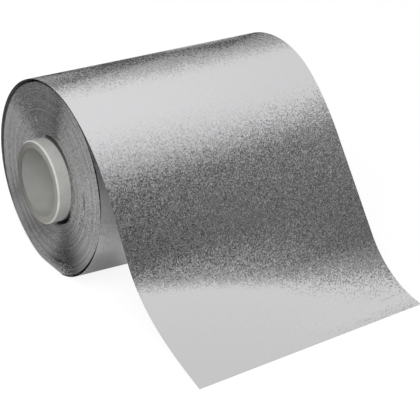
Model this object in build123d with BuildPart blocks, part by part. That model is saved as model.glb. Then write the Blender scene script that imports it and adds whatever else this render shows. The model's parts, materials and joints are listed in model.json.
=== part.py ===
from build123d import *
import os
from math import asin, cos, degrees, radians, sin, sqrt

# Hair foil roll: one strip of embossed aluminium foil wound on a cardboard tube, lying on its side.
# The last turn has sprung loose and its free end runs down the front on to the table.
# X runs along the roll, -Y is the front, +Z is up, and the origin is on the table under the axis.
# Angles go round the axis from the back, over the top, to the front.

# Wound foil
foil_width = 120.0        # width of the strip
roll_radius = 42.7        # outside of the wound foil
flat_width = 16.0         # small flat that the roll's own weight presses into its underside
foil_thickness = 0.2      # wall of the loose strip, thicker than real foil so that it is a solid

# Cardboard tube
core_radius = 18.45       # outside of the tube, which the foil is wound tight on
core_wall = 3.45          # wall of the tube
core_overhang = 6.1       # how far the tube stands out of each end of the roll
core_rim_bevel = 0.6      # bevel of the tube's outer rim
core_mouth_bevel = 0.3    # bevel of the tube's inner rim

# Turns that show on the ends of the roll, where bunches of turns stand alternately proud and set back
turn_count = 5            # turns of the spiral that is set back
setback_width = 2.0       # width of the bunch that is set back
setback_depth = 0.3       # how far it is set back

# Loose last turn
lift_angle = -36.0        # where the last turn lifts off the roll, low at the back
lift_slit = 0.15          # slit where it lifts off
bulge_angle = 9.0         # where the loose turn stands furthest off
bulge_gap = 2.5           # gap there
hug_angle = 113.0         # where it comes near the roll again, over the front
hug_gap = 0.8             # gap there

# Free end
shoulder_radius = 74.0    # bend over the front of the roll
run_slope = 54.3          # slope of the straight run down the front
left_flare = 75.0         # radius of the bend that turns the left edge out over the table
right_flare = 57.0        # radius of that bend at the right edge, which flares later
end_slope = 6.5           # slope of the free end where its edge meets the table

axis_height = sqrt(roll_radius**2 - (flat_width / 2) ** 2)
core_length = foil_width + 2 * core_overhang
turn_pitch = (roll_radius - core_radius) / (turn_count + 1)
FULL_TURN = 360.0
HALF_TURN = 180.0
QUARTER_TURN = 90.0
DOWN = 270.0


def section_plane(x):
    """Plane across the roll at x: its local x is the roll's Y, its local y is up from the axis."""
    return Plane(origin=(x, 0, axis_height), x_dir=(0, 1, 0), z_dir=(1, 0, 0))


def polar(radius, angle):
    return Vector(radius * cos(radians(angle)), radius * sin(radians(angle)))


def strip_side(inset, flare):
    """One side of the loose strip, inset from its outside: where it lifts off, and its cut end."""
    lift = polar(roll_radius - inset, lift_angle)
    bulge = polar(roll_radius + bulge_gap - inset, bulge_angle)
    hug = polar(roll_radius + hug_gap - inset, hug_angle)
    along = polar(1, bulge_angle + QUARTER_TURN)
    TangentArc(bulge, lift, tangent=-along)
    turn = TangentArc(bulge, hug, tangent=along)

    heading = (turn % 1).get_signed_angle(Vector(-1, 0), Vector(0, 0, 1))
    shoulder = JernArc(hug, turn % 1, shoulder_radius - inset, run_slope + heading)

    end_height = (foil_thickness - inset) * cos(radians(end_slope)) - axis_height
    flare_drop = (flare + inset) * (cos(radians(end_slope)) - cos(radians(run_slope)))
    run_length = ((shoulder @ 1).Y - flare_drop - end_height) / sin(radians(run_slope))
    run = PolarLine(shoulder @ 1, run_length, direction=shoulder % 1)

    end = JernArc(run @ 1, run % 1, flare + inset, end_slope - run_slope)
    return lift, end @ 1


def foil_section(flare):
    """Outline of the wound body, the slit under the loose turn, and the loose strip to its cut end."""
    flat_angle = degrees(asin(flat_width / 2 / roll_radius))
    front_of_flat = polar(roll_radius, DOWN - flat_angle)
    back_of_flat = polar(roll_radius, DOWN + flat_angle)
    under_radius = roll_radius - foil_thickness - lift_slit
    under_lift = polar(under_radius, lift_angle)
    over_top = polar((under_radius + roll_radius) / 2, (lift_angle + DOWN - flat_angle) / 2)
    low_back = polar(roll_radius, (DOWN + flat_angle + lift_angle + FULL_TURN) / 2)

    outer_lift, outer_end = strip_side(0, flare)
    inner_lift, inner_end = strip_side(foil_thickness, flare)
    Line(outer_end, inner_end)
    Line(inner_lift, under_lift)
    ThreePointArc(under_lift, over_top, front_of_flat)
    Line(front_of_flat, back_of_flat)
    ThreePointArc(back_of_flat, low_back, outer_lift)


def spiral(radius):
    """Semicircles that wind inwards from radius, by one pitch a turn."""
    start = first = polar(radius, lift_angle)
    angle = lift_angle
    for _ in range(2 * turn_count):
        angle -= HALF_TURN
        radius -= turn_pitch / 2
        end = polar(radius, angle)
        bow = polar((end - start).length / 2, angle + QUARTER_TURN)
        ThreePointArc(start, (start + end) / 2 + bow, end)
        start = end
    return first, start


# Cardboard tube, open all the way through
with BuildPart() as core_tube:
    with BuildSketch(section_plane(-core_length / 2)):
        Circle(core_radius)
        Circle(core_radius - core_wall, mode=Mode.SUBTRACT)
    extrude(amount=core_length)
    rims = core_tube.edges().filter_by(GeomType.CIRCLE).group_by(SortBy.RADIUS)
    chamfer(rims[0], core_mouth_bevel)
    chamfer(rims[-1], core_rim_bevel)

# Foil: wound body, loose last turn and free end, from the outline at its left edge to that at its right
with BuildPart() as foil:
    with BuildSketch(section_plane(-foil_width / 2)):
        with BuildLine():
            foil_section(left_flare)
        make_face()
    with BuildSketch(section_plane(foil_width / 2)):
        with BuildLine():
            foil_section(right_flare)
        make_face()
    loft(ruled=True)
    # Hollow that the tube fills
    with BuildSketch(section_plane(-foil_width / 2)):
        Circle(core_radius)
    extrude(amount=foil_width, mode=Mode.SUBTRACT)
    # Spiral of turns on both ends
    for side in (-1, 1):
        with BuildSketch(section_plane(side * foil_width / 2)):
            with BuildLine():
                outer_first, outer_last = spiral(roll_radius - turn_pitch / 2 + setback_width / 2)
                inner_first, inner_last = spiral(roll_radius - turn_pitch / 2 - setback_width / 2)
                Line(outer_first, inner_first)
                Line(outer_last, inner_last)
            make_face()
        extrude(amount=-side * setback_depth, mode=Mode.SUBTRACT)

os.makedirs("parts", exist_ok=True)
core_tube.part.label = "core_tube"
export_step(core_tube.part, "parts/core_tube.step")
foil.part.label = "foil"
export_step(foil.part, "parts/foil.step")
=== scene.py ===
import json
from collections import namedtuple
from math import cos, pi, radians, sin

import bpy
import numpy as np
from mathutils import Matrix, Vector

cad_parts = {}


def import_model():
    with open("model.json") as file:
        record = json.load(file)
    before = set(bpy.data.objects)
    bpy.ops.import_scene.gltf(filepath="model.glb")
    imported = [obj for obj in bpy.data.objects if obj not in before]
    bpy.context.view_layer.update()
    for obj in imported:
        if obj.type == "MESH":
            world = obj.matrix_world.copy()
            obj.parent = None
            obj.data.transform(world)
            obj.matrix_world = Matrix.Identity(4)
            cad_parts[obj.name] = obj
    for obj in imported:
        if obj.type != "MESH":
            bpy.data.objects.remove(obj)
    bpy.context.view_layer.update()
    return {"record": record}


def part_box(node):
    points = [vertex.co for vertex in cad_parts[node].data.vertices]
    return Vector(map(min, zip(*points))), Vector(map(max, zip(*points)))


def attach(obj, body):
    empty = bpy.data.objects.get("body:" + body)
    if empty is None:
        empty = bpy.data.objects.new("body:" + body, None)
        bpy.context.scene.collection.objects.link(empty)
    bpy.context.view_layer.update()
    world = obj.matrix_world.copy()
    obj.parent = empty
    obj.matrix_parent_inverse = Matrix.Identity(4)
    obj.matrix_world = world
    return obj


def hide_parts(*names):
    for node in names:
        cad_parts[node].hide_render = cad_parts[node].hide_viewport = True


# Hair foil roll: a strip of embossed aluminium foil wound on a cardboard tube, with a loose last turn and
# a free end that runs down on to the table. Lengths are millimetres and angles degrees until a mesh is made.
# Angles go round the roll's axis from the back, over the top, to the front.

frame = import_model()

MM = 0.001
BODY = "root"
FULL_TURN = 360.0
HALF_TURN = 180.0
QUARTER_TURN = 90.0


# Sizes of the frame
def millimetres(corner):
    return Vector(corner) / MM


foil_high = millimetres(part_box("foil")[1])
core_low, core_high = (millimetres(corner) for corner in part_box("core_tube"))
bore_mount = next(mount for mount in frame["record"]["mounts"] if mount["name"] == "core_bore")
AXIS_HEIGHT = bore_mount["pos_m"][2] / MM
BORE_RADIUS = bore_mount["dims"]["r_mm"]
FOIL_END = foil_high.x
CORE_END = core_high.x
CORE_RADIUS = (core_high.z - core_low.z) / 2
ROLL_RADIUS = 42.7          # outside of the wound turns, as on the solid


# Meshes
SHARP_ANGLE = 40.0          # edges bent more than this stay crisp


def smooth(share):
    """Half a cosine, from 0 to 1."""
    return 0.5 - 0.5 * np.cos(np.pi * np.clip(share, 0, 1))


def mesh_object(name, points, faces, materials, surfaces):
    """A piece that rides on the frame, from points in millimetres and the number of each face's material."""
    mesh = bpy.data.meshes.new(name)
    mesh.from_pydata((np.asarray(points) * MM).tolist(), [], faces)
    for material in materials:
        mesh.materials.append(material)
    mesh.polygons.foreach_set("material_index", np.asarray(surfaces, np.int32))
    mesh.shade_smooth()
    mesh.set_sharp_from_angle(angle=radians(SHARP_ANGLE))
    piece = bpy.data.objects.new(name, mesh)
    bpy.context.scene.collection.objects.link(piece)
    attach(piece, BODY)
    return piece


def unroll(mesh, name, flat):
    """Gives each point of the mesh its place on the flat foil, in a layer that the grain is laid out in."""
    layer = mesh.uv_layers.new(name=name)
    corner_points = np.empty(len(mesh.loops), np.int32)
    mesh.loops.foreach_get("vertex_index", corner_points)
    layer.uv.foreach_set("vector", (flat[corner_points] * MM).astype(np.float32).ravel())


def grid_faces(rows, columns, first=0, flip=False):
    """Quads of a grid of points that are numbered row by row."""
    faces = []
    for row in range(rows - 1):
        for column in range(columns - 1):
            corner = first + row * columns + column
            quad = (corner, corner + 1, corner + columns + 1, corner + columns)
            faces.append(quad[::-1] if flip else quad)
    return faces


def lathe(x, radius, angle):
    """Points and quads of a closed ring, with one closed profile of points at each step round the axis."""
    steps, count = x.shape
    turn = np.radians(angle)
    points = np.stack([x, radius * np.cos(turn), AXIS_HEIGHT + radius * np.sin(turn)], axis=2)
    faces = []
    for step in range(steps):
        this, after = step * count, (step + 1) % steps * count
        for place in range(count):
            beyond = (place + 1) % count
            faces.append((this + place, this + beyond, after + beyond, after + place))
    return points.reshape(-1, 3), faces


# Nodes
NOISE_FROM, NOISE_TO = 0.3, 0.7         # middle part of the noise, where most of it lies


def new_material(name):
    material = bpy.data.materials.new(name)
    material.use_nodes = True
    tree = material.node_tree
    tree.nodes.clear()
    return material, tree


def node(tree, kind, inputs=None, **settings):
    """Adds a node; each input is a value, or the socket that it is linked from."""
    made = tree.nodes.new("ShaderNode" + kind)
    for key, value in settings.items():
        setattr(made, key, value)
    for key, value in (inputs or {}).items():
        if isinstance(value, bpy.types.NodeSocket):
            tree.links.new(value, made.inputs[key])
        else:
            made.inputs[key].default_value = value
    return made


def surface(tree, shader):
    node(tree, "OutputMaterial", {"Surface": shader})


def calc(tree, operation, first, second=0.0):
    return node(tree, "Math", {0: first, 1: second}, operation=operation).outputs[0]


def vector(tree, operation, first, second):
    return node(tree, "VectorMath", {0: first, 1: second}, operation=operation).outputs[0]


def scaled(tree, first, scale):
    return node(tree, "VectorMath", {0: first, "Scale": scale}, operation="SCALE").outputs[0]


def unit(tree, first):
    return node(tree, "VectorMath", {0: first}, operation="NORMALIZE").outputs[0]


def length_of(tree, first):
    return node(tree, "VectorMath", {0: first}, operation="LENGTH").outputs["Value"]


def spread(tree, value, low, high, from_low=0.0, from_high=1.0):
    """A value, mapped on to a range and held inside it."""
    return node(tree, "MapRange", {0: value, 1: from_low, 2: from_high, 3: low, 4: high}).outputs[0]


def mottled(tree, noise, low, high):
    """Noise, whose middle part is mapped on to a range."""
    return spread(tree, noise, low, high, NOISE_FROM, NOISE_TO)


def cloud(tree, place, size, detail):
    """Noise all through space, with blotches of this size."""
    return node(tree, "TexNoise", {"Vector": place, "Scale": 1 / (size * MM),
                                   "Detail": detail}).outputs["Fac"]


def rings(tree, radius, size, detail):
    """Noise that differs from ring to ring round the axis."""
    return node(tree, "TexNoise", {"W": radius, "Scale": 1 / (size * MM), "Detail": detail},
                noise_dimensions="1D").outputs["Fac"]


def blended(tree, share, first, second):
    """A colour that passes from the first to the second."""
    return node(tree, "Mix", {0: share, 6: first, 7: second}, data_type="RGBA").outputs[2]


def only_where(tree, where, factor):
    """The factor where the test holds, and 1 elsewhere."""
    return node(tree, "Mix", {0: where, 2: 1.0, 3: factor}).outputs[0]


def shaded(tree, colour, factors):
    """A colour that is multiplied by each of these factors."""
    for factor in factors:
        colour = scaled(tree, colour, factor)
    return colour


def metal(tree, colour, roughness, tilt):
    """Bare metal, with the surface's normal turned by a tilt."""
    normal = node(tree, "NewGeometry").outputs["Normal"]
    tilted = unit(tree, vector(tree, "ADD", normal, tilt))
    shader = node(tree, "BsdfPrincipled", {
        "Base Color": colour, "Metallic": 1.0, "Roughness": roughness, "Normal": tilted})
    surface(tree, shader.outputs["BSDF"])


def from_axis(tree, place):
    """The part of a place that lies across the roll's axis."""
    return vector(tree, "MULTIPLY", vector(tree, "ADD", place, (0, 0, -AXIS_HEIGHT * MM)), (0, 1, 1))


# Foil: an embossed grain of small facets, each with a tilt of its own
FOIL_COLOUR = (0.67, 0.67, 0.68, 1)
GRAIN_SIZE = 0.42
GRAIN_TILT = 0.2
BRIGHT_ROUGHNESS = 0.12     # outer side of the foil
SATIN_ROUGHNESS = 0.45      # its inner side, and the wound turns


def foil_material(name, roughness):
    material, tree = new_material(name)
    place = node(tree, "UVMap").outputs["UV"]
    facets = node(tree, "TexVoronoi", {"Vector": place, "Scale": 1 / (GRAIN_SIZE * MM)},
                  voronoi_dimensions="2D").outputs["Color"]
    centred = vector(tree, "SUBTRACT", facets, (0.5, 0.5, 0.5))
    metal(tree, FOIL_COLOUR, roughness, scaled(tree, centred, GRAIN_TILT))
    return material


# Cut edges of the wound turns, packed side by side: rings and facets lean in or out from the axis
RING_SIZE = 0.3
RING_LEAN = 0.5
FACET_SIZE = 0.35
FACET_LEAN_IN = -0.15
FACET_LEAN_OUT = 0.6
SHINE_SIZE = 0.9            # rings that are duller and brighter
DULL, SHINY = 0.26, 0.38
EDGE_ROUGHNESS = 0.2


def turn_edge_material():
    material, tree = new_material("foil_edges")
    place = node(tree, "TexCoord").outputs["Object"]
    radial = from_axis(tree, place)
    outward = unit(tree, radial)
    radius = length_of(tree, radial)
    ring_lean = spread(tree, rings(tree, radius, RING_SIZE, detail=2.0), -RING_LEAN, RING_LEAN)
    facets = node(tree, "TexVoronoi", {"Vector": place, "Scale": 1 / (FACET_SIZE * MM)}).outputs["Color"]
    facet = node(tree, "SeparateXYZ", {0: facets}).outputs["X"]
    facet_lean = spread(tree, facet, FACET_LEAN_IN, FACET_LEAN_OUT)
    leant = scaled(tree, outward, calc(tree, "ADD", ring_lean, facet_lean))
    shine = mottled(tree, rings(tree, radius, SHINE_SIZE, detail=1.0), DULL, SHINY)
    colour = node(tree, "CombineColor", {0: shine, 1: shine, 2: shine}).outputs[0]
    metal(tree, colour, EDGE_ROUGHNESS, leant)
    return material


# Cardboard: grey-white board, spiral wound, with plies that show at its cut ends
RIM_BEVEL = 0.6             # bevels of the tube's outer and inner rims
MOUTH_BEVEL = 0.3
BOARD_COLOUR = (0.41, 0.41, 0.395)
BOARD_ROUGHNESS = 0.65
FIBRE_SIZE = 0.35
FIBRE_SHADES = (0.93, 1.07)
BLOTCH_SIZE = 5.0
BLOTCH_SHADES = (0.95, 1.05)
NAP_STRENGTH = 0.35         # bump of the fibres
NAP_HEIGHT = 0.06
SEAM_PITCH = 85.0           # advance of the spiral seam in one turn
SEAM_SHARE = 0.02           # its width, as a share of the pitch
SEAM_SHADE = 0.78
MOUTH_PAINTED_SHADE = 0.72         # painted shade on the lining at the bore's mouth
DEEP_PAINTED_LIGHT = 1.2           # painted light on the lining deep inside
PAINTED_LIGHT_DEPTH = 22.0         # how deep that is
GAP_PAINTED_SHADE = 0.2          # painted shade on the tube's outside where it lies in the gap inside the roll
GAP_SHADE_FROM, GAP_SHADE_TO = -0.4, 0.1      # the painted shade fades out here, as measured from the end of the roll
CUT_COLOUR = (0.25, 0.245, 0.225)
CUT_FROM = 0.05             # the cut end starts this far up the bevel
CUT_FIBRE_SHADES = (0.8, 1.2)
PLY_SIZE = 0.5
PLY_SHADES = (0.85, 1.12)
BACK_DARKER_FROM, BACK_DARKER_TO = -4.0, 14.0       # the cut end is darker towards the back, between these places
BACK_DARKER_LEVEL = 0.45
FLECK_SIZE = 0.8
FLECK_COLOUR = (0.20, 0.155, 0.11, 1)
FLECK_SHARE = 0.7           # how far the brown flecks cover the cut end
FLECK_FROM, FLECK_TO = 0.58, 0.7        # part of the noise that makes them
RIM_HIGHLIGHT_COLOUR = (0.55, 0.545, 0.525, 1)   # painted highlight along a line of the outer rim
RIM_HIGHLIGHT_WIDTH = 0.6
RIM_HIGHLIGHT_WALL = 0.15            # how far it reaches on to the wall
RIM_HIGHLIGHT_SHARES = (0.6, 1.0)


def cardboard_material():
    material, tree = new_material("cardboard")
    place = node(tree, "TexCoord").outputs["Object"]
    radial = from_axis(tree, place)
    radius = length_of(tree, radial)
    along = node(tree, "SeparateXYZ", {0: place}).outputs["X"]
    across = node(tree, "SeparateXYZ", {0: radial}).outputs
    from_middle = calc(tree, "ABSOLUTE", along)
    fibre = cloud(tree, place, FIBRE_SIZE, detail=3.0)
    blotch = cloud(tree, place, BLOTCH_SIZE, detail=2.0)

    # Wall: seam, painted light deep in the bore with painted shade at its mouth, and painted shade on the
    # outside where it lies inside the roll
    turned = calc(tree, "DIVIDE", calc(tree, "ARCTAN2", across["Z"], across["Y"]), 2 * pi)
    wound = calc(tree, "FRACT", calc(tree, "ADD", turned, calc(tree, "DIVIDE", along, SEAM_PITCH * MM)))
    seam = spread(tree, wound, SEAM_SHADE, 1.0, 0.0, SEAM_SHARE)
    deep, mouth = (CORE_END - PAINTED_LIGHT_DEPTH) * MM, CORE_END * MM
    # painted light deep in the bore, fading to painted shade at its mouth
    bore_light_and_shade = spread(tree, from_middle, DEEP_PAINTED_LIGHT, MOUTH_PAINTED_SHADE, deep, mouth)
    in_bore = calc(tree, "LESS_THAN", radius, (BORE_RADIUS + MOUTH_BEVEL) * MM)
    # painted shade on the outside of the tube inside the roll, so that the gap looks dark
    gap_shade_from, gap_shade_to = (FOIL_END + GAP_SHADE_FROM) * MM, (FOIL_END + GAP_SHADE_TO) * MM
    roll_gap_shade = spread(tree, from_middle, GAP_PAINTED_SHADE, 1.0, gap_shade_from, gap_shade_to)
    outside = calc(tree, "GREATER_THAN", radius, (CORE_RADIUS - RIM_BEVEL) * MM)
    wall = shaded(tree, BOARD_COLOUR, [
        mottled(tree, fibre, *FIBRE_SHADES), mottled(tree, blotch, *BLOTCH_SHADES), seam,
        only_where(tree, in_bore, bore_light_and_shade), only_where(tree, outside, roll_gap_shade)])

    # Cut ends: plies, darker towards the back, and brown flecks
    plies = mottled(tree, rings(tree, radius, PLY_SIZE, detail=2.0), *PLY_SHADES)
    darker_at_back = spread(tree, across["Y"], 1.0, BACK_DARKER_LEVEL, BACK_DARKER_FROM * MM, BACK_DARKER_TO * MM)
    plain_cut = shaded(tree, CUT_COLOUR, [plies, mottled(tree, fibre, *CUT_FIBRE_SHADES), darker_at_back])
    fleck = cloud(tree, place, FLECK_SIZE, detail=2.0)
    flecks = spread(tree, fleck, 0.0, FLECK_SHARE, FLECK_FROM, FLECK_TO)
    cut = blended(tree, flecks, plain_cut, FLECK_COLOUR)

    # Painted highlight along the outer rim
    at_end = calc(tree, "GREATER_THAN", from_middle, (CORE_END - RIM_BEVEL + CUT_FROM) * MM)
    board = blended(tree, at_end, wall, cut)
    at_rim = calc(tree, "GREATER_THAN", radius, (CORE_RADIUS - RIM_HIGHLIGHT_WIDTH) * MM)
    near_end = calc(tree, "GREATER_THAN", from_middle, (CORE_END - RIM_BEVEL - RIM_HIGHLIGHT_WALL) * MM)
    rim = calc(tree, "MULTIPLY", at_rim, near_end)
    rim_highlight = calc(tree, "MULTIPLY", rim, mottled(tree, blotch, *RIM_HIGHLIGHT_SHARES))
    colour = blended(tree, rim_highlight, board, RIM_HIGHLIGHT_COLOUR)

    nap = node(tree, "Bump", {"Height": fibre, "Strength": NAP_STRENGTH, "Distance": NAP_HEIGHT * MM})
    shader = node(tree, "BsdfPrincipled", {
        "Base Color": colour, "Roughness": BOARD_ROUGHNESS, "Normal": nap.outputs["Normal"]})
    surface(tree, shader.outputs["BSDF"])
    return material


# Foil strip: the loose last turn and the free end
STRIP_THICKNESS = 0.04
START_ANGLE = -78.0         # the last turn starts here, hidden under the roll
LIFT_ANGLE = -62.0          # it lifts off the roll here
BULGE_ANGLE = 12.0          # and stands furthest off here
BULGE_GAP = 2.6
TURN_STEP = 0.5             # step round the roll, in degrees, while the strip's line is worked out
STEP = 0.5                  # step along the free end
BEND_EASE = 5.0             # length over which one bend passes into the next
PULL_LENGTH = 70.0          # length along which an edge is drawn in, up to its pull at the cut end
STRIP_ROWS = 290
STRIP_COLUMNS = 160

# Line of an edge of the strip: where it comes near the roll again, and the gap there; radius of the bend over
# the front; slope of the straight run; radius of the bend that turns the end out, and the taper of its
# curvature; slope of the cut end; and how far the edge is drawn in there
Edge = namedtuple("Edge", "hug_angle hug_gap shoulder slope flare taper end_slope pull")
LEFT_EDGE = Edge(hug_angle=118.3, hug_gap=0.5, shoulder=79.1, slope=57.3,
                 flare=87.9, taper=2.0, end_slope=16.4, pull=0.2)
RIGHT_EDGE = Edge(hug_angle=128.2, hug_gap=2.0, shoulder=114.5, slope=52.5,
                  flare=46.8, taper=0.0, end_slope=2.5, pull=0.3)


def loose_gap(angle, edge):
    """Gap between the roll and the loose turn."""
    rise = smooth((angle - LIFT_ANGLE) / (BULGE_ANGLE - LIFT_ANGLE))
    fall = smooth((angle - BULGE_ANGLE) / (edge.hug_angle - BULGE_ANGLE))
    return BULGE_GAP * rise - (BULGE_GAP - edge.hug_gap) * fall


def bend(radius, heading_from, heading_to, taper=0.0):
    """Headings at each step along a bend, which is an arc unless its curvature tapers."""
    share = np.linspace(0, 1, round(radius * radians(abs(heading_to - heading_from)) / STEP))
    return heading_from + (heading_to - heading_from) * (share + taper / 2 * share * (1 - share))


def eased(headings):
    """Headings with each change of curvature spread out."""
    reach = round(BEND_EASE / STEP / 2)
    padded = np.pad(headings, reach, mode="edge")
    window = np.ones(2 * reach + 1) / (2 * reach + 1)
    return np.convolve(padded, window, mode="valid")


def strip_line(edge):
    """Points of the strip's outside at one edge, as rows of Y and Z above the axis."""
    angles = np.arange(START_ANGLE, edge.hug_angle, TURN_STEP)
    radius = ROLL_RADIUS + loose_gap(angles, edge)
    turn = np.stack([radius * np.cos(np.radians(angles)), radius * np.sin(np.radians(angles))], axis=1)
    run_heading = HALF_TURN + edge.slope
    shoulder = bend(edge.shoulder, edge.hug_angle + QUARTER_TURN, run_heading)
    flare = bend(edge.flare, run_heading, HALF_TURN + edge.end_slope, edge.taper)
    drop = turn[-1, 1] + AXIS_HEIGHT - STRIP_THICKNESS
    bends_drop = -STEP * np.sin(np.radians(np.concatenate([shoulder, flare]))).sum()
    run_steps = round((drop - bends_drop) / sin(radians(edge.slope)) / STEP)
    headings = np.radians(eased(np.concatenate([shoulder, np.full(run_steps, run_heading), flare])))
    tail = turn[-1] + STEP * np.cumsum(np.stack([np.cos(headings), np.sin(headings)], axis=1), axis=0)
    # What the whole steps leave is spread along the free end, so that its cut edge lies on the table
    short = STRIP_THICKNESS - AXIS_HEIGHT - tail[-1, 1]
    tail[:, 1] += short * np.linspace(0, 1, len(tail))
    return np.vstack([turn, tail])


def resampled(line, count):
    """The line as evenly spaced points, and its length."""
    lengths = np.concatenate([[0], np.cumsum(np.hypot(*np.diff(line, axis=0).T))])
    places = np.linspace(0, lengths[-1], count)
    return np.stack([np.interp(places, lengths, line[:, axis]) for axis in (0, 1)], axis=1), lengths[-1]


def strip_rim():
    """Pairs of points along the strip's two edges and its two ends."""
    last = STRIP_COLUMNS - 1
    end = (STRIP_ROWS - 1) * STRIP_COLUMNS
    starts = [row * STRIP_COLUMNS for row in range(STRIP_ROWS - 1)]
    pairs = [(start, start + STRIP_COLUMNS) for start in starts]
    pairs += [(start + STRIP_COLUMNS + last, start + last) for start in starts]
    pairs += [(column + 1, column) for column in range(last)]
    pairs += [(end + column, end + column + 1) for column in range(last)]
    return pairs


def foil_strip(foil, inside, edges):
    left, left_length = resampled(strip_line(LEFT_EDGE), STRIP_ROWS)
    right, right_length = resampled(strip_line(RIGHT_EDGE), STRIP_ROWS)
    share = np.linspace(0, 1, STRIP_COLUMNS)[None, :, None]
    line = left[:, None, :] * (1 - share) + right[:, None, :] * share
    along = np.gradient(line, axis=0)
    along /= np.linalg.norm(along, axis=2, keepdims=True)
    outward = np.stack([along[:, :, 1], -along[:, :, 0]], axis=2)
    length = (left_length + right_length) / 2
    lengths = np.linspace(0, length, STRIP_ROWS)
    pulled = np.clip((lengths - length + PULL_LENGTH) / PULL_LENGTH, 0, 1) ** 2
    from_x = LEFT_EDGE.pull * pulled - FOIL_END
    to_x = FOIL_END - RIGHT_EDGE.pull * pulled
    across = from_x[:, None, None] + (to_x - from_x)[:, None, None] * share

    def side(inset):
        section = line - inset * outward
        height = section[:, :, 1:] + AXIS_HEIGHT
        return np.concatenate([across, section[:, :, :1], height], axis=2).reshape(-1, 3)

    count = STRIP_ROWS * STRIP_COLUMNS
    points = np.vstack([side(0), side(STRIP_THICKNESS)])
    outer_faces = grid_faces(STRIP_ROWS, STRIP_COLUMNS)
    inner_faces = grid_faces(STRIP_ROWS, STRIP_COLUMNS, count, flip=True)
    rim_faces = [(first, second, second + count, first + count) for first, second in strip_rim()]
    faces = outer_faces + inner_faces + rim_faces
    surfaces = np.repeat([0, 1, 2], [len(outer_faces), len(inner_faces), len(rim_faces)])
    strip = mesh_object("foil_strip", points, faces, [foil, inside, edges], surfaces)
    row, column = np.divmod(np.arange(2 * count) % count, STRIP_COLUMNS)
    flat_across = np.linspace(0, 2 * FOIL_END, STRIP_COLUMNS)[column]
    unroll(strip.data, "strip", np.stack([flat_across, lengths[row]], axis=1))
    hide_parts("foil")


# Wound body of the roll. A stretch is given by its middle and half its length round the axis.
ROLL_STEPS = 360
LAST_TURN_INSET = 0.15      # outside of the wound body under the last turn
BUNCH_TURNS = 5             # turns of the spiral of bunches that stand proud and set back
BUNCH_WIDTH = 2.0
BUNCH_DEPTH = 0.06
BUNCH_EASE = 0.6            # width of the slope between proud and set back
RING_STEP = 0.3             # spacing of the fine rings on the ends
RING_COUNT = 200            # more rings than the roll's radius holds
RING_SEED = 7
RING_DEPTH = 0.018
RING_SWING = 0.25           # how much a ring's depth differs round the axis
RIM_WALL = 0.05             # wall of the outermost turn, which gapes at the front
RIM_SLIT = 0.02             # slit behind it where it doesn't gape
RIM_GAP_WIDTH = 1.1
RIM_GAP_DEPTH = 4.0
RIM_GAPS = [(160.0, 33.0), (229.0, 46.0)]
RIM_BULGE = 0.9             # how far the outermost turn stands out
RIM_BULGES = [(160.0, 33.0), (245.0, 38.0)]
RIM_LIP = 0.5               # it is straight for this length at the ends
SAG = 1.2                   # how much further it hangs off the pack low at the front
SAG_STRETCH = (238.0, 40.0)
SAG_END = FOIL_END / 3      # the sag is full as far as this from the middle, and eases off to the ends
SUNK_DEPTH = 6.0            # innermost turns, sunk beside the tube above and below it
SUNK_WIDTH = 1.15
SUNK_STRETCHES = [(107.0, 44.0), (238.0, 38.0)]
OPEN_TURN_RADIUS = 29.0     # a turn that stands a little open
OPEN_TURN_STRETCH = (177.0, 16.0)
OPEN_TURN_WIDTH = 0.3
OPEN_TURN_DEPTH = 2.0
NICK_RADIUS, NICK_ANGLE = 25.6, 62.0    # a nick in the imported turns
NICK_LENGTH = 1.5
NICK_WIDTH = 0.6
NICK_DEPTH = 0.3


def stretch(angle, middle, half):
    """Share from 0 to 1 and back, along a stretch round the axis."""
    off = np.mod(angle - middle + HALF_TURN, FULL_TURN) - HALF_TURN
    return smooth(1 - np.abs(off) / half)


def stretches(angle, places):
    """The same for several stretches together."""
    return sum(stretch(angle, middle, half) for middle, half in places)


def ring_depth(radius, angle):
    """How far a place on the end of the roll is set back, by its turn."""
    table = np.random.RandomState(RING_SEED).rand(3, RING_COUNT)
    places = np.arange(RING_COUNT) * RING_STEP
    plain, swing_y, swing_z = (np.interp(radius, places, row) - 0.5 for row in table)
    turn = np.radians(angle)
    swing = RING_SWING * (swing_y * np.cos(turn) + swing_z * np.sin(turn))
    fine = RING_DEPTH * (0.5 + 0.5 * plain + swing)

    pitch = (ROLL_RADIUS - CORE_RADIUS) / (BUNCH_TURNS + 1)
    wound = (ROLL_RADIUS - pitch / 2 - radius) / pitch - np.mod(LIFT_ANGLE - angle, FULL_TURN) / FULL_TURN
    off = np.abs(wound - np.clip(np.round(wound), 0, BUNCH_TURNS - 1)) * pitch
    bunches = BUNCH_DEPTH * smooth((BUNCH_WIDTH / 2 + BUNCH_EASE / 2 - off) / BUNCH_EASE)

    from_core = (radius - CORE_RADIUS) / SUNK_WIDTH
    sunk = SUNK_DEPTH * stretches(angle, SUNK_STRETCHES) * np.exp(-from_core ** 2)
    from_open = (radius - OPEN_TURN_RADIUS) / OPEN_TURN_WIDTH
    opened = OPEN_TURN_DEPTH * stretch(angle, *OPEN_TURN_STRETCH) * np.exp(-from_open ** 2)
    nick_along = (radius - NICK_RADIUS) / NICK_LENGTH
    nick_across = NICK_RADIUS * np.radians(angle - NICK_ANGLE) / NICK_WIDTH
    nick = NICK_DEPTH * np.exp(-nick_along ** 2 - nick_across ** 2)
    return fine + bunches + sunk + opened + nick


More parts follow.
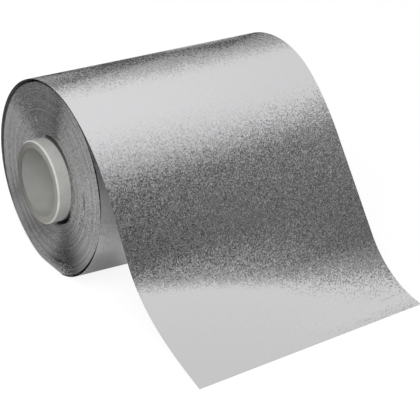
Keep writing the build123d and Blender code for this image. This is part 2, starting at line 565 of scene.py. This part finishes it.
def foil_roll(foil, edges):
    angle = np.arange(ROLL_STEPS) * FULL_TURN / ROLL_STEPS
    body_radius = ROLL_RADIUS - LAST_TURN_INSET
    rim_radius = body_radius + RIM_BULGE * stretches(angle, RIM_BULGES)
    sagged_radius = rim_radius + SAG * stretch(angle, *SAG_STRETCH)
    wall_radius = rim_radius - RIM_WALL
    pack_radius = wall_radius - (RIM_SLIT + RIM_GAP_WIDTH * stretches(angle, RIM_GAPS))
    shares = np.linspace(0, 1, round((body_radius - CORE_RADIUS) / RING_STEP))
    face_radius = CORE_RADIUS + (pack_radius[:, None] - CORE_RADIUS) * shares
    depth = ring_depth(face_radius, np.broadcast_to(angle[:, None], face_radius.shape))

    # Half of the profile, from the tube out over the end face, through the gap and on to the outside
    gap_end = FOIL_END - RIM_GAP_DEPTH
    rim = [(gap_end, pack_radius), (gap_end, wall_radius), (FOIL_END, wall_radius),
           (FOIL_END, rim_radius), (FOIL_END - RIM_LIP, rim_radius), (SAG_END, sagged_radius)]
    half_x = np.concatenate([FOIL_END - depth] + [np.full((ROLL_STEPS, 1), x) for x, _ in rim], axis=1)
    half_radius = np.concatenate([face_radius] + [radius[:, None] for _, radius in rim], axis=1)
    x = np.concatenate([-half_x, half_x[:, ::-1]], axis=1)
    radius = np.concatenate([half_radius, half_radius[:, ::-1]], axis=1)
    turn = np.broadcast_to(angle[:, None], x.shape)
    points, faces = lathe(x, radius, turn)
    points[:, 2] = np.maximum(points[:, 2], 0)          # flat where it rests on the table

    # The end faces, the gaps and the rims are cut edges
    count = x.shape[1]
    end_count = len(shares) + 3
    place = np.arange(len(faces)) % count
    is_end = (place < end_count) | ((place >= count - end_count - 1) & (place < count - 1))
    roll = mesh_object("foil_roll", points, faces, [foil, edges], is_end)
    unroll(roll.data, "roll", np.stack([x.ravel(), np.radians(turn).ravel() * ROLL_RADIUS], axis=1))
    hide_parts("foil")


# Cardboard tube
TUBE_STEPS = 160


def core_tube(material):
    half = [(CORE_END / 2, CORE_RADIUS), (CORE_END - RIM_BEVEL, CORE_RADIUS),
            (CORE_END, CORE_RADIUS - RIM_BEVEL), (CORE_END, BORE_RADIUS + MOUTH_BEVEL),
            (CORE_END - MOUTH_BEVEL, BORE_RADIUS), (CORE_END / 2, BORE_RADIUS)]
    profile = half + [(-x, radius) for x, radius in half[::-1]]
    x, radius = (np.tile(values, (TUBE_STEPS, 1)) for values in zip(*profile))
    angle = np.arange(TUBE_STEPS) * FULL_TURN / TUBE_STEPS
    points, faces = lathe(x, radius, np.broadcast_to(angle[:, None], x.shape))
    faces = [face[::-1] for face in faces]
    tube = mesh_object("core_board", points, faces, [material], np.zeros(len(faces)))
    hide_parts("core_tube")


# Table
FLOOR_SIZE = 8000.0
FLOOR_DROP = 0.2
FLOOR_WHITE = 0.8           # its colour in the light that it throws back on the object
SEEN_GLOW = 0.865           # its own light, which shadow can't take away, as the camera sees it
SEEN_WHITE = 0.18           # its colour, which the lamps light, as the camera sees it
MIRRORED_GLOW = 0.05        # the same in mirror reflections
MIRRORED_WHITE = 0.95


def grey(level):
    return (level, level, level, 1)


def glowing(tree, glow, white):
    """White that is part light of its own and part lit, so that a soft shadow shows on it."""
    lit = node(tree, "BsdfDiffuse", {"Color": grey(white)}).outputs[0]
    light = node(tree, "Emission", {"Color": grey(1), "Strength": glow}).outputs[0]
    return node(tree, "AddShader", {0: lit, 1: light}).outputs[0]


def ray_tests(tree):
    """Whether the camera sees a place, and whether a mirror or glass does."""
    path = node(tree, "LightPath").outputs
    return path["Is Camera Ray"], calc(tree, "MAXIMUM", path["Is Glossy Ray"], path["Is Transmission Ray"])


def stage_sheet(name, corners, material):
    mesh = bpy.data.meshes.new(name)
    mesh.from_pydata([tuple(Vector(corner) * MM) for corner in corners], [], [range(len(corners))])
    mesh.materials.append(material)
    made = bpy.data.objects.new(name, mesh)
    bpy.context.scene.collection.objects.link(made)
    return made


def floor():
    material, tree = new_material("floor")
    seen, mirrored = ray_tests(tree)
    plain = node(tree, "BsdfDiffuse", {"Color": grey(FLOOR_WHITE)}).outputs[0]
    direct = node(tree, "MixShader", {0: seen, 1: plain, 2: glowing(tree, SEEN_GLOW, SEEN_WHITE)}).outputs[0]
    both = node(tree, "MixShader", {0: mirrored, 1: direct, 2: glowing(tree, MIRRORED_GLOW, MIRRORED_WHITE)})
    surface(tree, both.outputs[0])
    half = FLOOR_SIZE / 2
    corners = [(-half, -half), (half, -half), (half, half), (-half, half)]
    stage_sheet("floor", [(x, y, -FLOOR_DROP) for x, y in corners], material)


# White cards beside the set, which only mirror reflections show. Their patches darken along a direction, from
# white at one place to dark at another. The dark is mottled about its mean level, so that neighbouring facets
# of the grain differ.
Card = namedtuple("Card", "name corners dark patches")
Patch = namedtuple("Patch", "direction white_at dark_at strength")
MOTTLE_SIZE = 35.0
MOTTLE_FROM, MOTTLE_TO = 0.4, 0.6       # part of the noise that makes the mottle
DOWN = (0, 0, -1)
RIGHT = (1, 0, 0)
FRONT = (0.13, -0.992, 0)
FRONT_RIGHT = (0.2, -0.98, 0)
FRONT_LEFT = (-0.101, -0.995, 0)
DIAGONAL = (0.815, -0.58, 0)
ACROSS_TAIL = (-0.15, -0.989, 0)
ACROSS_TO_FRONT = (-0.809, -0.588, 0)   # across the table cards, which run to the back at the left
ACROSS_TO_BACK = (0.809, 0.588, 0)
CARD_HEIGHT = 0.3           # cards that lie on the table
TABLE_LEFT = -300.0         # left end of the table cards, and their right end beside the roll
TABLE_RIGHT = -61.0
TAIL_HEIGHT = 24.8          # the tail card slopes down to the right
TAIL_SLOPE = -0.104
TAIL_FRONT = [(-100, -140), (140, -140)]
TAIL_EDGE = [(140, -97), (70, -95.5), (50, -94.5), (30, -92), (8, -87.5), (-25, -81), (-53, -77), (-100, -69)]


def lying(corners, height):
    return [(x, y, height) for x, y in corners]


CARDS = [
    # Dark band across the strip
    Card("overhead_card", lying([(-900, -1500), (1500, -1500), (1500, 100), (-900, 100)], 240), 0.165,
         [Patch(FRONT, 105, 305, 0.99), Patch(FRONT_RIGHT, 122, 255, 0.76), Patch(FRONT_LEFT, 42, 200, 0.56),
          Patch(DIAGONAL, 222, 285, 0.8), Patch(RIGHT, 30, 180, 0.1)]),
    # Dark band along the top of the roll
    Card("back_card", [(-300, 260, 0), (900, 260, 0), (900, 260, 620), (-300, 260, 620)], 0.25,
         [Patch(DOWN, -560, -110, 1.0)]),
    # Darker left and lower part of the end face
    Card("table_back_card",
         lying([(TABLE_RIGHT, 1.5), (TABLE_RIGHT, 75), (TABLE_LEFT, 404), (TABLE_LEFT, 330)], CARD_HEIGHT),
         0.3, [Patch(ACROSS_TO_FRONT, -22, 36, 1.0)]),
    # Dark bottom of the end face
    Card("table_front_card",
         lying([(TABLE_RIGHT, -60), (TABLE_RIGHT, 1.5), (TABLE_LEFT, 330), (TABLE_LEFT, 269)], CARD_HEIGHT),
         0.18, [Patch(ACROSS_TO_BACK, -84, -50, 1.0)]),
    # Dark sector at the upper right of the end face, from a card that its patch makes black all over
    Card("side_card", [(-300, 450, 0.3), (-300, 200, 0.3), (-300, 200, 400), (-300, 450, 400)], 0.0,
         [Patch(DOWN, -500, -450, 1.0)]),
    # Light end of the strip, with a clear upper edge
    Card("tail_card", [(x, y, TAIL_HEIGHT + TAIL_SLOPE * x) for x, y in TAIL_FRONT + TAIL_EDGE], 0.0,
         [Patch(ACROSS_TAIL, 60, 105, 0.17)]),
    # Grey of the roll's side under the free end, from a card that its patch covers evenly
    Card("under_card", lying([(-59, -45), (59, -45), (59, -8), (-59, -8)], CARD_HEIGHT), 0.3,
         [Patch(DOWN, -1, 0, 1.0)]),
]


def make_card(card):
    material, tree = new_material(card.name)
    spot = node(tree, "TexCoord").outputs["Object"]
    cover = None
    for patch in card.patches:
        place = node(tree, "VectorMath", {0: spot, 1: patch.direction},
                     operation="DOT_PRODUCT").outputs["Value"]
        dimmed = node(tree, "MapRange", {0: place, 1: patch.white_at * MM, 2: patch.dark_at * MM,
                                         4: patch.strength}, interpolation_type="SMOOTHSTEP").outputs[0]
        cover = dimmed if cover is None else calc(tree, "MAXIMUM", cover, dimmed)
    mottle = cloud(tree, spot, MOTTLE_SIZE, detail=0.0)
    darkest = spread(tree, mottle, 0.0, 2 * card.dark, MOTTLE_FROM, MOTTLE_TO)
    level = spread(tree, cover, 1.0, darkest)
    surface(tree, node(tree, "Emission", {"Color": grey(1), "Strength": level}).outputs[0])
    made = stage_sheet(card.name, card.corners, material)
    made.visible_camera = False
    made.visible_diffuse = False
    made.visible_transmission = False
    made.visible_shadow = False


# Light
AMBIENT = 0.6
SOFTBOX_PLACE = Vector((-450, -400, 500))       # above the camera, at its left
SOFTBOX_AIM = Vector((0, -20, 40))
SOFTBOX_SIZE = 600.0
SOFTBOX_POWER = 4.0


def world():
    made = bpy.data.worlds.new("studio")
    made.use_nodes = True
    tree = made.node_tree
    tree.nodes.clear()
    seen, mirrored = ray_tests(tree)
    ambient = node(tree, "Background", {"Color": grey(1), "Strength": AMBIENT}).outputs[0]
    white = node(tree, "Background", {"Color": grey(1), "Strength": 1.0}).outputs[0]
    shown = calc(tree, "MAXIMUM", seen, mirrored)
    both = node(tree, "MixShader", {0: shown, 1: ambient, 2: white}).outputs[0]
    node(tree, "OutputWorld", {"Surface": both})
    bpy.context.scene.world = made


def softbox():
    light = bpy.data.lights.new("softbox", "AREA")
    light.shape = "RECTANGLE"
    light.size = light.size_y = SOFTBOX_SIZE * MM
    light.energy = SOFTBOX_POWER
    made = bpy.data.objects.new("softbox", light)
    made.location = SOFTBOX_PLACE * MM
    made.rotation_euler = (SOFTBOX_AIM - SOFTBOX_PLACE).to_track_quat("-Z", "Y").to_euler()
    made.visible_glossy = False
    bpy.context.scene.collection.objects.link(made)


# Camera, as fitted to the photo's outlines
CAMERA_TARGET = Vector((10.52, -21.68, 18.92))
CAMERA_DISTANCE = 643.75
CAMERA_AZIMUTH = -36.025
CAMERA_ELEVATION = 26.236
CAMERA_ROLL = 2.532
CAMERA_LENS = 121.43


def camera():
    azimuth, elevation, roll = (radians(value) for value in (CAMERA_AZIMUTH, CAMERA_ELEVATION, CAMERA_ROLL))
    back = Vector((sin(azimuth) * cos(elevation), -cos(azimuth) * cos(elevation), sin(elevation)))
    level = Vector((0, 0, 1)).cross(back).normalized()
    upright = back.cross(level)
    across = level * cos(roll) + upright * sin(roll)
    upward = back.cross(across)
    data = bpy.data.cameras.new("camera")
    data.lens = CAMERA_LENS
    made = bpy.data.objects.new("camera", data)
    place = (CAMERA_TARGET + back * CAMERA_DISTANCE) * MM
    made.matrix_world = Matrix.Translation(place) @ Matrix((across, upward, back)).transposed().to_4x4()
    bpy.context.scene.collection.objects.link(made)
    bpy.context.scene.camera = made


bpy.context.scene.view_settings.view_transform = "Standard"
satin = foil_material("foil_satin", SATIN_ROUGHNESS)
edges = turn_edge_material()
foil_strip(foil_material("foil", BRIGHT_ROUGHNESS), satin, edges)
foil_roll(satin, edges)
core_tube(cardboard_material())
floor()
for card in CARDS:
    make_card(card)
world()
softbox()
camera()
